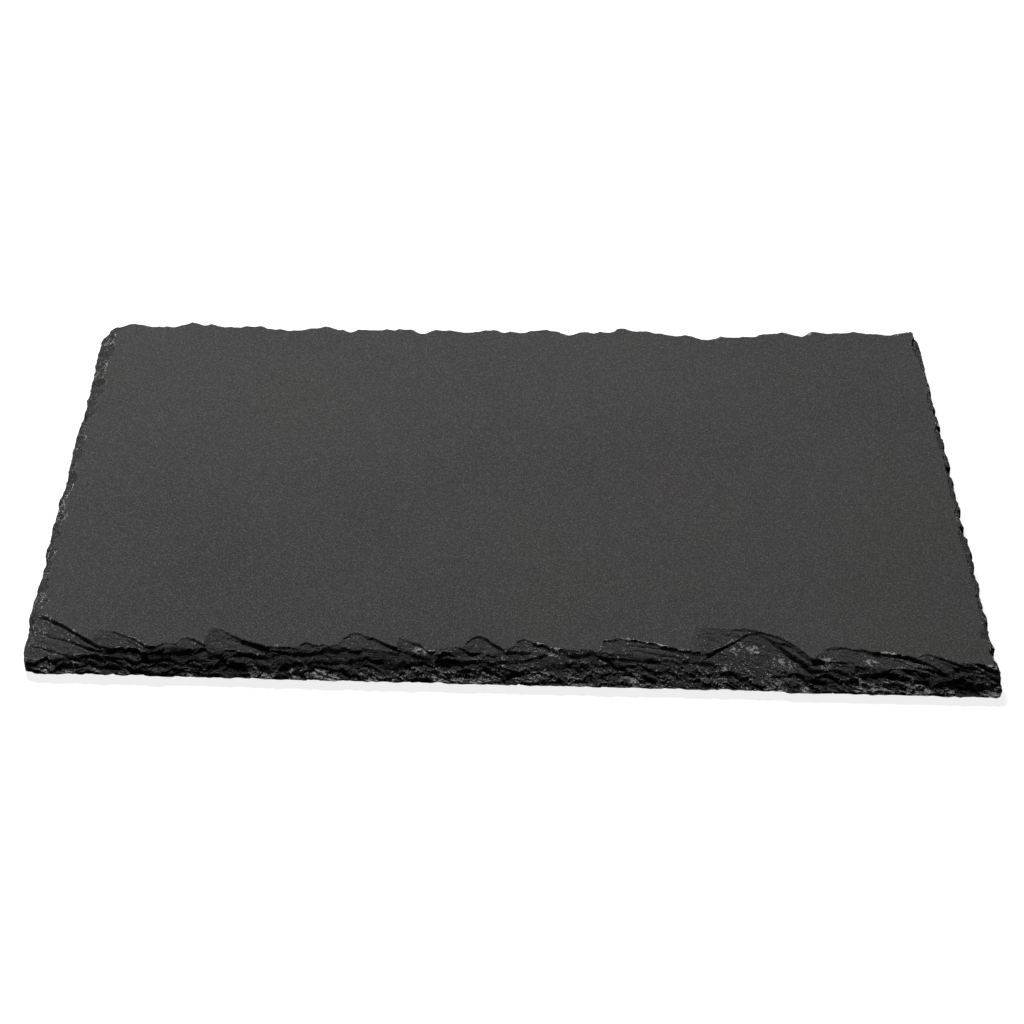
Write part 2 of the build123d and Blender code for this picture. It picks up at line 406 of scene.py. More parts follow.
# Steep sides show the sheets of the slate: how high each lies and, as a share of the bevel, how far in it
# broke off. Each has its own torn line, and falls from there towards the edge.
TOP_SHEET_DROP = 0.25
SHEETS = ((THICKNESS - TOP_SHEET_DROP, 0.86), (6.1, 0.62), (5.5, 0.38), (4.8, 0.14))
SHEET_FLAKES = ((1.0, 15.0, 0.2), (0.55, 6.0, 0.25))  # share, pitch and seed of each row
SHEET_JAGS = ((0.3, 4.7, 0.6), (0.25, 2.3, 0.7), (0.2, 0.9, 0.9))  # depth, length and seed of each line
SHEET_SWELLS = ((0.36, 26.0, 0.3), (0.25, 8.0, 0.4))
SHEET_WAVE = 0.05
SHEET_WAVE_LENGTH = 31.0
SHEET_SLOPE = 0.36
SLOPE_CHANGE = 0.2
SLOPE_CHANGE_LENGTH = 13.0
TOP_SETBACK = 1.1
TOP_SETBACK_LENGTH = 17.0
TOP_DIP = 0.7
TOP_DIP_LENGTH = 11.0
SHEET_RISER = 0.2
SHEET_SCUFF_WIDE = 0.4
SCUFF_CORE = 1.2


def near_line(across, edge, wide):
    """1 along a torn line, and 0 away from it."""
    return np.clip(SCUFF_CORE - np.abs(across - edge) / wide, 0, 1)


def break_sheets(stone, along, across, side, seed):
    """Breaks the sheets of a steep side, and finds the line along the top one."""
    bevel = given_at(side.bevel, along)
    rows = [
        part * flakes(along, side.run, pitch, side.lean, seed + own)
        for part, pitch, own in SHEET_FLAKES
    ]
    torn = side.flake * sum(rows)
    for sheet, (top, reach) in enumerate(SHEETS):
        own_seed = seed + sheet
        edge = bevel * (reach + SHEET_WAVE * wave(along, SHEET_WAVE_LENGTH, own_seed)) + torn
        slope = SHEET_SLOPE + SLOPE_CHANGE * wave(along, SLOPE_CHANGE_LENGTH, own_seed + 0.5)
        if sheet == 0:
            edge += TOP_SETBACK * (1 + wave(along, TOP_SETBACK_LENGTH, own_seed + 0.8))
            bed = top - TOP_DIP * (0.5 + 0.5 * wave(along, TOP_DIP_LENGTH, own_seed + 0.35)) ** 2
        else:
            bed = top + add_up(wave, along, SHEET_SWELLS, own_seed)
        edge += add_up(jag, along, SHEET_JAGS, own_seed)
        stone = strike(stone, bed - slope * (edge - across), edge, across, SHEET_RISER, side.groove)
        if sheet == 0:
            top_line = near_line(across, edge, SHEET_SCUFF_WIDE)
    return stone, top_line


# The cleavage turns slopes of the front bevel into ledges and risers that drift along the edge.
CLEAVAGE_STEP = 2.0
CLEAVAGE_SHARE = 0.35
CLEAVAGE_START = 0.25
RISER_SHARE = 0.28
LONG_DRIFT = 0.9
LONG_DRIFT_SIZE = 9.0
LONG_DRIFT_SEED = 21
SHORT_DRIFT = 0.3
SHORT_DRIFT_SIZE = 3.0
SHORT_DRIFT_SEED = 22
BROKEN_DROP = 0.3  # stone lower than this under the top face is broken stone


def layered(stone, along, across):
    """Turns slopes of the break into level ledges and risers, one cleavage step apart."""
    flat = np.zeros(len(along))
    stretched = np.stack([along / 2, across, flat], axis=1)
    plain = np.stack([along, across, flat], axis=1)
    drift = LONG_DRIFT * rough(stretched, LONG_DRIFT_SIZE, LONG_DRIFT_SEED)
    drift += SHORT_DRIFT * rough(plain, SHORT_DRIFT_SIZE, SHORT_DRIFT_SEED)
    count = (THICKNESS - CLEAVAGE_START - stone) / CLEAVAGE_STEP + drift
    whole = np.floor(count)
    stair = whole + np.clip((count - whole - (1 - RISER_SHARE)) / RISER_SHARE, 0, 1)
    amount = CLEAVAGE_SHARE * np.clip((THICKNESS - stone) / BROKEN_DROP, 0, 1)
    return np.minimum(stone + amount * CLEAVAGE_STEP * (count - stair), THICKNESS)


# The front bevel is hollow, and each blow on it left a small flake bed that falls towards the edge.
BEVEL_FOOT = 0.7
BEVEL_RISE = 6.1
BEVEL_HOLLOW = 1.5
BEVEL_WAVES = ((1.3, 17.0, 1.7),)
BEVEL_JAGS = ((0.6, 6.0, 1.8), (0.25, 1.3, 1.9))
BLOW_SEED = 5
BLOW_SEED_STEP = 0.13
BLOW_JAGS = ((0.35, 3.1, 5.6), (0.3, 1.1, 5.7))
BLOW_FOOT = 0.5
BLOW_GROOVE = 0.25
EARLY_PEAK = 0.15
LATE_PEAK = 0.55
PEAK_STRAY = 0.3
EARLY_SHARE = 0.7
BLOW_FIRST_FLANK = (2.0, 2.0)  # the least, and how much chance adds
BLOW_LAST_FLANK = (1.2, 1.5)
BLOW_FALL = (0.1, 0.5)
BLOW_TURN = 0.09


def dress_bevel(stone, along, across, side):
    """Breaks a bevel and strikes its rows of blows."""
    edge = given_at(side.bevel, along) + add_up(wave, along, BEVEL_WAVES, 0)
    edge += add_up(jag, along, BEVEL_JAGS, 0)
    bed = BEVEL_FOOT + BEVEL_RISE * np.clip(across / edge, 0, 1) ** BEVEL_HOLLOW
    stone = strike(stone, bed, edge, across)
    for row, blows in enumerate(side.blows):
        for blow in range(blows.count):
            luck = [chance(blow, BLOW_SEED + row + BLOW_SEED_STEP * throw) for throw in range(7)]
            stray, width, lean, reach, fall, weight, turn = luck
            peak = side.run * (blow + stray) / blows.count
            span = blows.narrow + (blows.wide - blows.narrow) * width
            before = span * ((EARLY_PEAK if weight < EARLY_SHARE else LATE_PEAK) + PEAK_STRAY * lean)
            part = blows.near + (blows.far - blows.near) * reach
            far = part * given_at(side.bevel, peak)
            first_flank = BLOW_FIRST_FLANK[0] + BLOW_FIRST_FLANK[1] * turn
            last_flank = BLOW_LAST_FLANK[0] + BLOW_LAST_FLANK[1] * fall
            edge = far * petal(along, peak - before, peak, peak - before + span, first_flank, last_flank)
            edge += add_up(jag, along, BLOW_JAGS, blow)
            bed = BLOW_FOOT + BEVEL_RISE * min(part, 1) ** BEVEL_HOLLOW - blows.deep * weight ** 2
            bed = bed - (BLOW_FALL[0] + BLOW_FALL[1] * fall) * (far - across)
            bed = bed - BLOW_TURN * turn * (along - peak)
            stone = strike(stone, bed, edge, across, groove=BLOW_GROOVE)
    return layered(stone, along, across)


# A scar gets deeper along the side, and its ledges step down towards the edge.
SCAR_JAGS = ((0.9, 6.7, 0.0), (0.5, 2.9, 0.4), (0.25, 1.2, 0.7))
SCAR_DEEPENING = 1.35
DEEPENING_POWER = 1.1
SCAR_FALL = 0.6
SCAR_RISER = 0.4
SCAR_GROOVE = 0.4
LEDGE_SETBACK = 0.14
LEDGE_SHIFT = 1.5
LEDGE_DROP = 0.5


def tear_scars(stone, along, across, scars):
    """Tears thin flakes off the top face."""
    for scar in scars:
        onward = np.clip((along - scar.start) / (scar.end - scar.start), 0, 1)
        deepening = SCAR_DEEPENING * onward ** DEEPENING_POWER
        for ledge in range(scar.ledges):
            outline = petal(along, scar.start, scar.peak + LEDGE_SHIFT * ledge, scar.end, last=scar.fullness)
            edge = (1 - LEDGE_SETBACK * ledge) * scar.reach * outline
            edge += add_up(jag, along, SCAR_JAGS, scar.peak + ledge)
            bed = THICKNESS - scar.shallow - (scar.deep - scar.shallow + LEDGE_DROP * ledge) * deepening
            bed -= SCAR_FALL * scar.deep * (edge - across) / scar.reach
            stone = strike(stone, bed, edge, across, SCAR_RISER, SCAR_GROOVE * deepening)
    return stone


# A chip falls from its back to its sill at the edge.
CHIP_FIRST_FLANK = 1.3
CHIP_JAG = 0.5
CHIP_JAG_LENGTH = 5.3
CHIP_FINE_JAG = 0.3
CHIP_FINE_JAG_LENGTH = 2.1
CHIP_RISER = 0.4
CHIP_GROOVE = 0.3


def break_chips(stone, along, across, chips, seed):
    """Breaks off chips with one smooth face each."""
    for chip in chips:
        edge = chip.reach * petal(along, chip.start, chip.peak, chip.end, CHIP_FIRST_FLANK)
        edge += CHIP_JAG * jag(along, CHIP_JAG_LENGTH, seed + chip.reach)
        edge += CHIP_FINE_JAG * jag(along, CHIP_FINE_JAG_LENGTH, seed + 0.6)
        bed = chip.sill + (THICKNESS - chip.drop - chip.sill) * across / chip.reach
        bed += np.maximum(chip.first_climb * (chip.peak - along), chip.last_climb * (along - chip.peak))
        stone = strike(stone, bed, edge, across, CHIP_RISER, CHIP_GROOVE)
    return stone


# Skims are very thin flakes along a steep side, whose outlines are scuffed. Pairs are the least, and how
# much chance adds.
SKIM_SPAN = (8, 10)
SKIM_LEAN = (0.1, 0.4)
SKIM_REACH = (2, 0.25)
SKIM_DROP = (0.12, 0.25)
SKIM_FALL = (0.06, 0.9)
SKIM_FLANK = 1.3
SKIM_JAG = 0.2
SKIM_JAG_LENGTH = 1.3
SKIM_TILT = 2
SKIM_TILT_MOST = 0.25
SKIM_RISER = 0.6
SKIM_SCUFF_WIDE = 0.35
SKIM_SCUFF_START = 0.6


def skim_edge(stone, along, across, side, seed):
    """Skims flakes off the top face along a side, and finds the lines around them."""
    lines = np.zeros(len(along))
    for skim in range(side.skims):
        peak = side.run * (skim + chance(skim, seed + 6.1)) / side.skims
        span = SKIM_SPAN[0] + SKIM_SPAN[1] * chance(skim, seed + 6.2)
        before = span * (SKIM_LEAN[0] + SKIM_LEAN[1] * chance(skim, seed + 6.3))
        reach = SKIM_REACH[0] + SKIM_REACH[1] * span * chance(skim, seed + 6.4)
        edge = reach * petal(along, peak - before, peak, peak - before + span, SKIM_FLANK, SKIM_FLANK)
        edge += SKIM_JAG * jag(along, SKIM_JAG_LENGTH, seed + 6.5)
        fall = SKIM_FALL[0] + SKIM_FALL[1] * side.tilt * chance(skim, seed + 6.8)
        bed = THICKNESS - SKIM_DROP[0] - SKIM_DROP[1] * chance(skim, seed + 6.6) - fall * (edge - across)
        tilt = side.tilt * SKIM_TILT * chance(skim, seed + 6.7)
        bed -= np.clip(tilt * (along - peak + before), 0, SKIM_TILT_MOST)
        stone = strike(stone, bed, edge, across, SKIM_RISER)
        lines = np.maximum(lines, near_line(across, edge, SKIM_SCUFF_WIDE) * (edge > SKIM_SCUFF_START))
    return stone, lines


# The sides are dressed one after the other.
BAND_MARGIN = 1
SIDE_SEED_STEP = 20
height = np.full(len(block), THICKNESS)
scuff = np.zeros(len(block))
dust = np.zeros(len(block))
for number, side in enumerate(SIDES):
    across = measured(side, side.inward)
    near = np.nonzero(across < side.band + BAND_MARGIN)[0]
    along = measured(side, side.heading)[near]
    across = across[near] + given_at(side.wander, along)
    stone = height[near]
    seed = number * SIDE_SEED_STEP
    scuffed = np.zeros(len(near))
    if side.flake:
        stone, scuffed = break_sheets(stone, along, across, side, seed)
        seed += len(SHEETS) - 1
    if side.blows:
        stone = dress_bevel(stone, along, across, side)
    stone = tear_scars(stone, along, across, side.scars)
    stone = break_chips(stone, along, across, side.chips, seed)
    stone, skimmed = skim_edge(stone, along, across, side, seed)
    height[near] = stone
    scuff[near] = np.maximum(scuff[near], side.scuff * np.maximum(scuffed, skimmed))
    dust[near] = np.maximum(dust[near], side.dust)

# Broken stone is rough, with grain and thin plates, more so low down and less so towards the left front.
GRAIN = ((2.7, 0.10, 0.14, 1), (0.9, 0.08, 0.14, 2))  # size, relief, more relief low down, and seed
PLATES = (((5.5, 1.3), 0.10, 0.2, 3), ((2.4, 0.8), 0.08, 0.14, 4))
PLATE_HEADING = (0.9, 0.44)
GRAIN_STRETCH = 2
LOW_START = 5.0
LOW_RANGE = 2.5
CALM_LEFT = 18
CALM_FRONT = 30
CALM_SHARE = 0.25
CALM_CORNER = 0.4
LEAST_HEIGHT = 0.3
broken = np.clip((THICKNESS - height) / BROKEN_DROP, 0, 1)
low = np.clip((LOW_START - height) / LOW_RANGE, 0, 1)
spots = np.stack([plan_x, plan_y, height * GRAIN_STRETCH], axis=1)
near_left = np.exp(-(((plan_x + LENGTH / 2) / CALM_LEFT) ** 2))
near_front = np.exp(-(((plan_y + DEPTH / 2) / CALM_FRONT) ** 2))
broken *= 1 - near_left * (CALM_SHARE + CALM_CORNER * near_front)
for size, relief, more, seed in GRAIN:
    height += broken * (relief + more * low) * rough(spots, size, seed)
plate_x = PLATE_HEADING[0] * plan_x - PLATE_HEADING[1] * plan_y
plate_y = PLATE_HEADING[1] * plan_x + PLATE_HEADING[0] * plan_y
slanted = np.stack([plate_x, plate_y], axis=1)
for size, relief, more, seed in PLATES:
    height += broken * (relief + more * low) * plates(slanted, np.array(size), seed)
height = np.clip(height, LEAST_HEIGHT, THICKNESS)

# The lower rim is chipped in places.
RIM_CHIP = 0.9
RIM_CHIP_SHARE = 0.6
RIM_CHIPPED = 0.2
RIM_GRAIN = ((1.0, 2.6, 3), (0.6, 1.1, 4))  # weight, size and seed
plan = np.stack([plan_x, plan_y, np.zeros(len(block))], axis=1)
chipped = RIM_CHIPPED + sum(weight * rough(plan, size, seed) for weight, size, seed in RIM_GRAIN)
chipped = np.clip(chipped, 0, 1) * fade ** 2
base = np.minimum(chipped * RIM_CHIP, height * RIM_CHIP_SHARE)
level = np.where(on_top, height, base + (height - base) * z / THICKNESS)

# The wall under the broken edge is rough and a little undercut.
WALL_UNDERCUT = 0.3
WALL_RELIEF = 0.3
WALL_GRAIN = 1.6
WALL_SEED = 5
WALL_STRETCH = 2.5
for side in SIDES:
    own = (border[side.name] < TINY) * (share < TINY)
    wall = np.stack([plan_x, plan_y, level * WALL_STRETCH], axis=1)
    dent = WALL_UNDERCUT * (1 - z / THICKNESS) + WALL_RELIEF * rough(wall, WALL_GRAIN, WALL_SEED)
    plan_x += own * dent * side.inward[0]
    plan_y += own * dent * side.inward[1]

skewed_y = plan_y * (1 + OUT_OF_SQUARE / (DEPTH / 2) * plan_x / (LENGTH / 2))
done = np.stack([plan_x, skewed_y, level + UNDERSIDE], axis=1)
mesh.vertices.foreach_set("co", (done * MM).ravel())
mesh.update()

# Each face is cut between the two corners that lie closer in height, so that cuts follow the torn lines.
# Faces of three corners look past their own, so the list of corners gets some spare ones at its end.
first_corner = np.empty(len(mesh.polygons), dtype=np.int32)
mesh.polygons.foreach_get("loop_start", first_corner)
corner_vertex = np.empty(len(mesh.loops), dtype=np.int32)
mesh.loops.foreach_get("vertex_index", corner_vertex)
corner_height = done[np.append(corner_vertex, [0, 0, 0]), 2]
first_drop = np.abs(corner_height[first_corner] - corner_height[first_corner + 2])
second_drop = np.abs(corner_height[first_corner + 1] - corner_height[first_corner + 3])
mesh.polygons.foreach_set("select", first_drop < second_drop)
bpy.ops.object.mode_set(mode="EDIT")
bpy.ops.mesh.quads_convert_to_tris(quad_method="FIXED")
bpy.ops.mesh.select_all(action="SELECT")
bpy.ops.mesh.quads_convert_to_tris(quad_method="FIXED_ALTERNATE")
bpy.ops.object.mode_set(mode="OBJECT")

# A vertex that stands over its neighbours lies on a ridge, where the stone is crushed and pale.
RIDGE_HEIGHT = 0.1
ends = np.empty(len(mesh.edges) * 2, dtype=np.int32)
mesh.edges.foreach_get("vertices", ends)
ends = ends.reshape(-1, 2)
total = np.zeros(len(block))
links = np.zeros(len(block))
for first, second in ((0, 1), (1, 0)):
    np.add.at(total, ends[:, first], done[ends[:, second], 2])
    np.add.at(links, ends[:, first], 1)
ridge = np.clip((done[:, 2] - total / links) / RIDGE_HEIGHT, 0, 1)

# Pale bruises: patches of the ridges, spots crushed by a blow, scuffed lines, dust, and the lower fringe.
# A spot has its place along the front edge, its distance in from it, and its width.
PALE_SPOTS = (
    (122, 9.5, 3), (130, 10, 2.5), (147.5, 10, 4), (162.5, 10.5, 3.5), (219, 15, 6), (225, 15.5, 4),
    (233, 10, 5), (215, 6, 3.5), (247.5, 8.5, 3.5), (260, 9, 3), (90, 3, 4), (106, 2, 4),
)
RIDGE_PATCHES = (8.0, 8, 1.6, 0.2)  # size, seed and strength of the relief, and the level it starts from
RIDGE_SPECKS = (1.2, 9, 1.2, 0.5)
SPOT_SPECKS = (0.8, 11, 1.8, 0.4)
SCUFF_PATCHES = (6.0, 10, 1.4, 0.7)
DUST_SPECKS = (1.4, 13, 1.2, 0.3)
FRINGE_PATCHES = (4.0, 12, 1.3, 0.3)
SPOT_NARROWNESS = 0.6
SPOT_CORE = 1.3
SPOT_STRENGTH = 0.9
FRONT_START = 1.5
FRONT_RANGE = 20
MORE_AT_FRONT = 0.6
SCUFF_STRENGTH = 0.6
SCUFF_CALM = 0.7
FRINGE_START = 1.3
FRINGE_HEIGHT = 2.8
FRINGE_STRENGTH = 0.4
FRINGE_AT_FRONT = 0.7


def patchy(points, size, seed, strength, start, more=0.0):
    """Random patches from 0 to 1, which may be larger in some places."""
    return np.clip(strength * rough(points, size, seed) + start + more, 0, 1)


skin = np.stack([plan_x, plan_y, level], axis=1)
toward_front = np.clip(FRONT_START - (plan_y + DEPTH / 2) / FRONT_RANGE, 0, 1)
patch = patchy(skin, *RIDGE_PATCHES, MORE_AT_FRONT * toward_front) * patchy(skin, *RIDGE_SPECKS)
crushed = np.zeros(len(block))
for spot_along, spot_across, spot_wide in PALE_SPOTS:
    away_along = (plan_x + LENGTH / 2 - spot_along) / spot_wide
    away_across = (plan_y + DEPTH / 2 - spot_across) / (SPOT_NARROWNESS * spot_wide)
    crushed = np.maximum(crushed, np.clip(SPOT_CORE - np.hypot(away_along, away_across), 0, 1))
crushed *= SPOT_STRENGTH * patchy(skin, *SPOT_SPECKS)
scuff *= patchy(plan, *SCUFF_PATCHES) * (1 - SCUFF_CALM * near_left * toward_front)
dust *= patchy(skin, *DUST_SPECKS)
fringe = np.clip(FRINGE_START - level / FRINGE_HEIGHT, 0, 1) * patchy(skin, *FRINGE_PATCHES) * fade
fringe *= FRINGE_STRENGTH + FRINGE_AT_FRONT * toward_front
bruise = np.clip(ridge * patch + crushed * broken + SCUFF_STRENGTH * scuff + fringe + dust * broken, 0, 1)
bruise = np.where(on_base, bruise * fade, bruise)
for label, values in (("broken", np.where(on_top, broken, fade)), ("bruise", bruise)):
    attribute = mesh.attributes.new(label, "FLOAT", "POINT")
    attribute.data.foreach_set("value", values.astype(np.float32))
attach(slab, "root")
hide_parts("slate_slab")

# Slate is dark grey with faint tints and a fine grain. A tint has the scale and detail of its noise, where
# the noise sets in and where it is full, its share, and its colour.
Tint = namedtuple("Tint", "scale detail start full share colour")
SLATE_DARK = (0.0355, 0.0350, 0.0350, 1)
SLATE_TINTS = (
    Tint(14.0, 4.0, 0.3, 0.7, 1.0, (0.0430, 0.0424, 0.0420, 1)),
    Tint(30.0, 3.0, 0.5, 0.7, 0.7, (0.042, 0.0385, 0.0385, 1)),
    Tint(11.0, 3.0, 0.5, 0.7, 0.7, (0.0405, 0.0402, 0.0385, 1)),
    Tint(2400.0, 2.0, 0.48, 0.7, 0.78, (0.10, 0.10, 0.10, 1)),
    Tint(2900.0, 2.0, 0.48, 0.7, 0.85, (0.012, 0.012, 0.012, 1)),
)
FRESH_BREAK = (0.025, 0.025, 0.025, 1)
FRESH_SHARE = 0.1
CRUSHED_STONE = (0.32, 0.32, 0.315, 1)
CRUSHED_SHARE = 0.4
CRUSHED_SCALE = 2200.0
CRUSHED_START = 0.7
CRUSHED_FULL = 0.85
SPECKS = Tint(1500.0, 1.0, 0.7, 0.76, 0.8, (0.4, 0.4, 0.39, 1))
SLATE_ROUGHNESS = 0.65
SLATE_GLOSS = 0.01
LEAF_THINNESS = (1, 1, 9)
LEAF_SCALE = 380.0
LEAF_DETAIL = 6.0
LEAF_CRISPNESS = 0.72
LEAF_START = 0.3
LEAF_FULL = 0.7
LEAF_BUMP = {"Strength": 0.8, "Distance": 0.0009}
GRAIN_SCALE = 700.0
GRAIN_DETAIL = 4.0
GRAIN_CRISPNESS = 0.6
GRAIN_BUMP = {"Strength": 0.35, "Distance": 0.0003}


def add_node(tree, kind, sockets=(), **settings):
    """Adds a shader node with its settings and the values of its sockets."""
    node = tree.nodes.new(kind)
    for label, value in settings.items():
        setattr(node, label, value)
    for label, value in dict(sockets).items():
        if isinstance(value, bpy.types.NodeSocket):
            tree.links.new(value, node.inputs[label])
        else:
            node.inputs[label].default_value = value
    return node


def noise(tree, coords, scale, detail=2.0, crispness=0.5):
    """Random clouds from 0 to 1 over a piece."""
    sockets = {"Vector": coords, "Scale": scale, "Detail": detail, "Roughness": crispness}
    return add_node(tree, "ShaderNodeTexNoise", sockets).outputs["Fac"]


def fit(tree, value, low, high, least=0.0, most=1.0):
    """A value between low and high, brought between least and most."""
    sockets = {"Value": value, "From Min": low, "From Max": high, "To Min": least, "To Max": most}
    return add_node(tree, "ShaderNodeMapRange", sockets).outputs["Result"]


def mix(tree, factor, first, second):
    """A colour between two colours."""
    node = add_node(tree, "ShaderNodeMix", data_type="RGBA")
    for label, value in (("Factor", factor), ("A", first), ("B", second)):
        socket = next(s for s in node.inputs if s.name == label and s.enabled)
        if isinstance(value, bpy.types.NodeSocket):
            tree.links.new(value, socket)
        else:
            socket.default_value = value
    return next(s for s in node.outputs if s.enabled)


def reckon(tree, operation, first, second):
    """The result of an operation on two values, such as their product."""
    return add_node(tree, "ShaderNodeMath", {0: first, 1: second}, operation=operation).outputs[0]


def tint_amount(tree, coords, tint):
    """How much of a tint shows at each place."""
    return fit(tree, noise(tree, coords, tint.scale, tint.detail), tint.start, tint.full, 0.0, tint.share)


def tinted(tree, coords, colour, tints):
    """A colour with tints laid over it, one after the other."""
    for tint in tints:
        colour = mix(tree, tint_amount(tree, coords, tint), colour, tint.colour)
    return colour


def new_material(name):
    """A new material, with its tree, its surface and the coordinates of the piece."""
    material = bpy.data.materials.new(name)
    material.use_nodes = True
    tree = material.node_tree
    coords = add_node(tree, "ShaderNodeTexCoord").outputs["Object"]
    return material, tree, tree.nodes["Principled BSDF"], coords


slate, tree, surface, coords = new_material("riven_slate")
broken_here = add_node(tree, "ShaderNodeAttribute", attribute_name="broken").outputs["Fac"]
bruise_here = add_node(tree, "ShaderNodeAttribute", attribute_name="bruise").outputs["Fac"]
colour = tinted(tree, coords, SLATE_DARK, SLATE_TINTS)
colour = mix(tree, reckon(tree, "MULTIPLY", broken_here, FRESH_SHARE), colour, FRESH_BREAK)
bruise_share = reckon(tree, "MULTIPLY", bruise_here, CRUSHED_SHARE)
pale = reckon(tree, "ADD", bruise_share, noise(tree, coords, CRUSHED_SCALE))
colour = mix(tree, fit(tree, pale, CRUSHED_START, CRUSHED_FULL), colour, CRUSHED_STONE)
speck_amount = reckon(tree, "MULTIPLY", broken_here, tint_amount(tree, coords, SPECKS))
colour = mix(tree, speck_amount, colour, SPECKS.colour)
tree.links.new(colour, surface.inputs["Base Color"])
surface.inputs["Roughness"].default_value = SLATE_ROUGHNESS
surface.inputs["Specular IOR Level"].default_value = SLATE_GLOSS
grain = add_node(tree, "ShaderNodeBump", GRAIN_BUMP)
tree.links.new(noise(tree, coords, GRAIN_SCALE, GRAIN_DETAIL, GRAIN_CRISPNESS), grain.inputs["Height"])
thin = add_node(tree, "ShaderNodeMapping", {"Vector": coords, "Scale": LEAF_THINNESS}).outputs["Vector"]
leaf_noise = noise(tree, thin, LEAF_SCALE, LEAF_DETAIL, LEAF_CRISPNESS)
leaf_relief = fit(tree, leaf_noise, LEAF_START, LEAF_FULL)
leaves = add_node(tree, "ShaderNodeBump", LEAF_BUMP)
tree.links.new(reckon(tree, "MULTIPLY", broken_here, leaf_relief), leaves.inputs["Height"])
tree.links.new(grain.outputs["Normal"], leaves.inputs["Normal"])
tree.links.new(leaves.outputs["Normal"], surface.inputs["Normal"])
slab.data.materials.append(slate)

# Adhesive discs
# A thin disc of hazy acrylic adhesive holds each foot to the slate. It was cut from a sheet and pressed on
# by hand, and its lower rim is a little rounded. All four are hidden when the board stands on a table.

CORNERS = ("front_left", "front_right", "back_right", "back_left")
RIM_STEPS = 5
SMOOTH_ANGLE = math.radians(40)
PAD_PARTS = 64
PAD_TAPER = 0.985
PAD_ROUNDING = 0.06
ADHESIVE_CLEAR = (0.42, 0.41, 0.37, 1)
ADHESIVE_HAZE = Tint(900.0, 3.0, 0.35, 0.7, 1.0, (0.55, 0.54, 0.5, 1))
ADHESIVE_ROUGHNESS = 0.25


def turned_disc(node, parts, taper, rounding):
    """A disc as large as a CAD node, narrowed at its base and rounded at its lower rim."""
    low, high = (Vector(end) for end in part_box(node))
    radius = (high.x - low.x) / 2 / MM
    thick = (high.z - low.z) / MM
    bpy.ops.object.select_all(action="DESELECT")
    bpy.ops.mesh.primitive_cylinder_add(vertices=parts, radius=radius, depth=thick)
    bpy.ops.object.mode_set(mode="EDIT")
    bpy.ops.mesh.select_mode(type="FACE")
    pick_face(-thick / 2)
    bpy.ops.transform.resize(value=(taper, taper, 1))
    bpy.ops.mesh.select_mode(type="EDGE")
    bpy.ops.mesh.region_to_loop()
    bpy.ops.mesh.bevel(offset=rounding, segments=RIM_STEPS, profile=0.5)
    bpy.ops.mesh.select_all(action="SELECT")
    bpy.ops.transform.resize(value=(MM, MM, MM))
    bpy.ops.object.mode_set(mode="OBJECT")
    bpy.ops.object.shade_smooth_by_angle(angle=SMOOTH_ANGLE)
    return bpy.context.active_object


def stick_on(disc, name, node):
    """Puts a copy of a disc, with a mesh of its own, in the place of a CAD node."""
    low, high = (Vector(end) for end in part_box(node))
    stuck = disc.copy()
    stuck.data = disc.data.copy()
    stuck.name = name
    bpy.context.collection.objects.link(stuck)
    stuck.data.transform(Matrix.Translation((low + high) / 2))
    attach(stuck, "root")
    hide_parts(node)
    return stuck


acrylic, tree, surface, coords = new_material("clear_adhesive")
tree.links.new(tinted(tree, coords, ADHESIVE_CLEAR, (ADHESIVE_HAZE,)), surface.inputs["Base Color"])
surface.inputs["Roughness"].default_value = ADHESIVE_ROUGHNESS

cut_disc = turned_disc("adhesive_" + CORNERS[0], PAD_PARTS, PAD_TAPER, PAD_ROUNDING)
cut_disc.data.materials.append(acrylic)
for corner in CORNERS:
    pad = stick_on(cut_disc, "pressed_adhesive_" + corner, "adhesive_" + corner)
bpy.data.objects.remove(cut_disc)

# Rubber feet
# Each foot is a low disc of moulded black rubber, narrower at its base and round at the rim, that keeps the
# slate off the table and stops it sliding. The skin is matt, from a spark-etched mould, and a little dusty.

FOOT_PARTS = 96
FOOT_TAPER = 0.9
FOOT_ROUNDING = 0.4
RUBBER_BLACK = (0.014, 0.014, 0.014, 1)
RUBBER_DUST = Tint(420.0, 4.0, 0.45, 0.75, 1.0, (0.03, 0.029, 0.028, 1))
RUBBER_GLOSS = 0.3
WEAR_SCALE = 1300.0
WEAR_START = 0.3
WEAR_FULL = 0.7
LEAST_ROUGHNESS = 0.6
MOST_ROUGHNESS = 0.85
SKIN_SCALE = 3500.0
SKIN_BUMP = {"Strength": 0.3, "Distance": 0.0001}

rubber, tree, surface, coords = new_material("moulded_rubber")
tree.links.new(tinted(tree, coords, RUBBER_BLACK, (RUBBER_DUST,)), surface.inputs["Base Color"])
wear = noise(tree, coords, WEAR_SCALE)
worn = fit(tree, wear, WEAR_START, WEAR_FULL, LEAST_ROUGHNESS, MOST_ROUGHNESS)
tree.links.new(worn, surface.inputs["Roughness"])
surface.inputs["Specular IOR Level"].default_value = RUBBER_GLOSS
mould_skin = add_node(tree, "ShaderNodeBump", SKIN_BUMP)
tree.links.new(noise(tree, coords, SKIN_SCALE), mould_skin.inputs["Height"])
tree.links.new(mould_skin.outputs["Normal"], surface.inputs["Normal"])

moulded_disc = turned_disc("foot_" + CORNERS[0], FOOT_PARTS, FOOT_TAPER, FOOT_ROUNDING)
moulded_disc.data.materials.append(rubber)
for corner in CORNERS:
    foot = stick_on(moulded_disc, "moulded_foot_" + corner, "foot_" + corner)
bpy.data.objects.remove(moulded_disc)

# Floor, light and camera
# A plain floor that looks white to the camera but throws little light back, under a round soft lamp that
# stands above and behind the board, a little to the left. The camera stands where the photograph was taken.

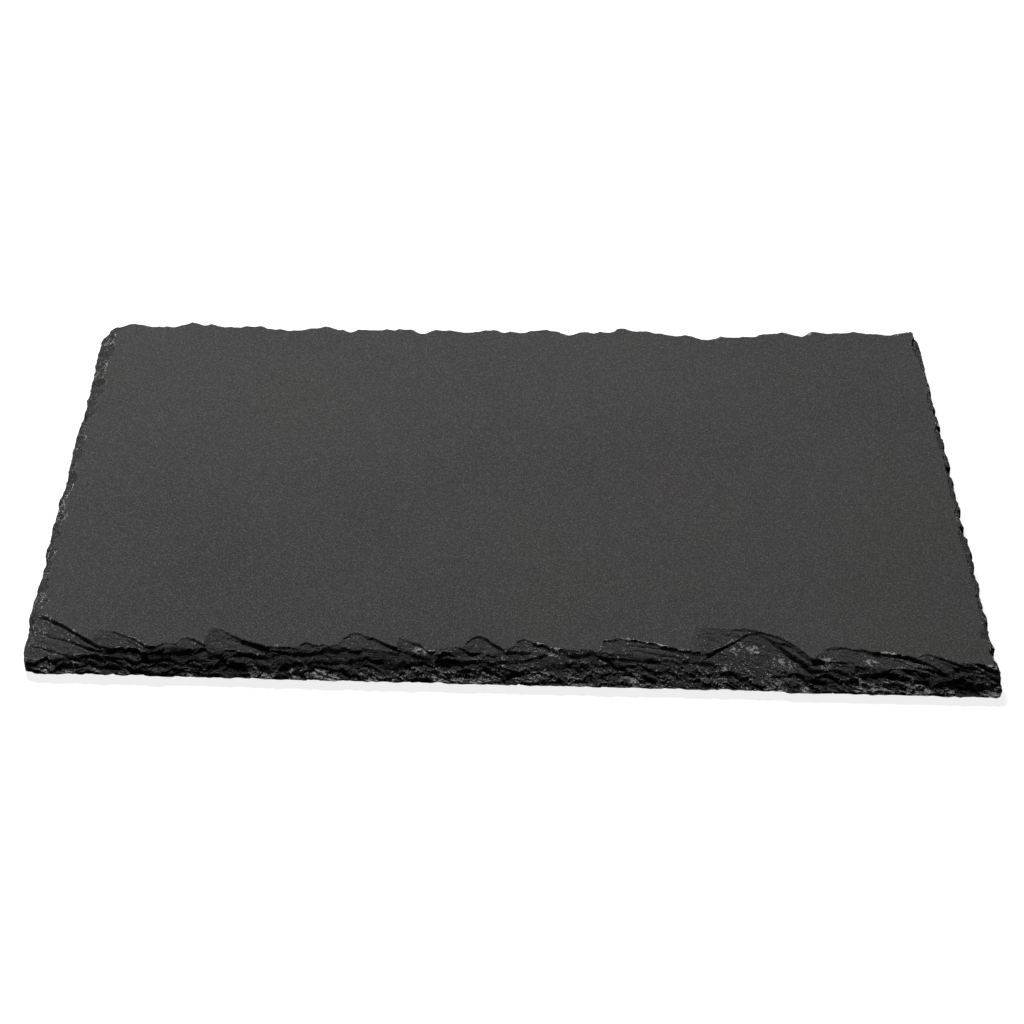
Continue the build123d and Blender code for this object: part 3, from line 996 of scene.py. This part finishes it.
FLOOR_SIZE = 8.0
FLOOR_DARK = (0.03, 0.03, 0.03, 1)
FLOOR_PALE = (0.3, 0.3, 0.3, 1)
FLOOR_GLOW = 0.85
SKY_DARK = (0.015, 0.015, 0.015, 1)
WHITE = (1, 1, 1, 1)
LAMP_BEARING = math.radians(-24)
LAMP_HEIGHT = math.radians(54)
LAMP_DISTANCE = 1.3
LAMP_SIZE = 0.45
LAMP_POWER = 28.3
CAMERA_SENSOR = 36.0
CAMERA_LENS = 87.7
CAMERA_DISTANCE = 0.8375
CAMERA_RISE = math.radians(35.55)
CAMERA_TURN = math.radians(-0.749)
CAMERA_ROLL = math.radians(1.471)
CAMERA_AIM = Vector((0.00007, -0.00533, 0.0))


def sees_white(tree):
    """1 where the camera sees a surface, straight or in a reflection, and 0 for the light it gives."""
    path = add_node(tree, "ShaderNodeLightPath").outputs
    mirrored = reckon(tree, "MAXIMUM", path["Is Glossy Ray"], path["Is Transmission Ray"])
    return reckon(tree, "MAXIMUM", path["Is Camera Ray"], mirrored)


bpy.ops.mesh.primitive_plane_add(size=FLOOR_SIZE)
floor = bpy.context.active_object
floor.name = "studio_floor"
white = bpy.data.materials.new("studio_white")
white.use_nodes = True
tree = white.node_tree
paint = tree.nodes["Principled BSDF"]
seen = sees_white(tree)
tree.links.new(mix(tree, seen, FLOOR_DARK, FLOOR_PALE), paint.inputs["Base Color"])
tree.links.new(reckon(tree, "MULTIPLY", seen, FLOOR_GLOW), paint.inputs["Emission Strength"])
paint.inputs["Emission Color"].default_value = WHITE
paint.inputs["Roughness"].default_value = 1.0
paint.inputs["Specular IOR Level"].default_value = 0.0
floor.data.materials.append(white)

toward_lamp = Vector((
    math.sin(LAMP_BEARING) * math.cos(LAMP_HEIGHT),
    math.cos(LAMP_BEARING) * math.cos(LAMP_HEIGHT),
    math.sin(LAMP_HEIGHT),
))
bpy.ops.object.light_add(type="AREA", location=toward_lamp * LAMP_DISTANCE)
lamp = bpy.context.active_object
lamp.name = "studio_lamp"
lamp.rotation_euler = toward_lamp.to_track_quat("Z", "Y").to_euler()
lamp.data.shape = "DISK"
lamp.data.size = LAMP_SIZE
lamp.data.energy = LAMP_POWER

world = bpy.data.worlds.new("studio")
bpy.context.scene.world = world
world.use_nodes = True
tree = world.node_tree
sky = mix(tree, sees_white(tree), SKY_DARK, WHITE)
tree.links.new(sky, tree.nodes["Background"].inputs["Color"])

back = Vector((
    math.sin(CAMERA_TURN) * math.cos(CAMERA_RISE),
    -math.cos(CAMERA_TURN) * math.cos(CAMERA_RISE),
    math.sin(CAMERA_RISE),
))
right = Vector((math.cos(CAMERA_TURN), math.sin(CAMERA_TURN), 0))
up = back.cross(right)
rolled_right = math.cos(CAMERA_ROLL) * right + math.sin(CAMERA_ROLL) * up
rolled_up = math.cos(CAMERA_ROLL) * up - math.sin(CAMERA_ROLL) * right
bpy.ops.object.camera_add()
camera = bpy.context.active_object
camera.name = "photo_camera"
camera.data.lens = CAMERA_LENS
camera.data.sensor_width = CAMERA_SENSOR
turned = Matrix((rolled_right, rolled_up, back)).transposed()
camera.matrix_world = Matrix.LocRotScale(CAMERA_AIM + back * CAMERA_DISTANCE, turned.to_quaternion(), None)
bpy.context.scene.camera = camera
bpy.context.scene.view_settings.view_transform = "Standard"
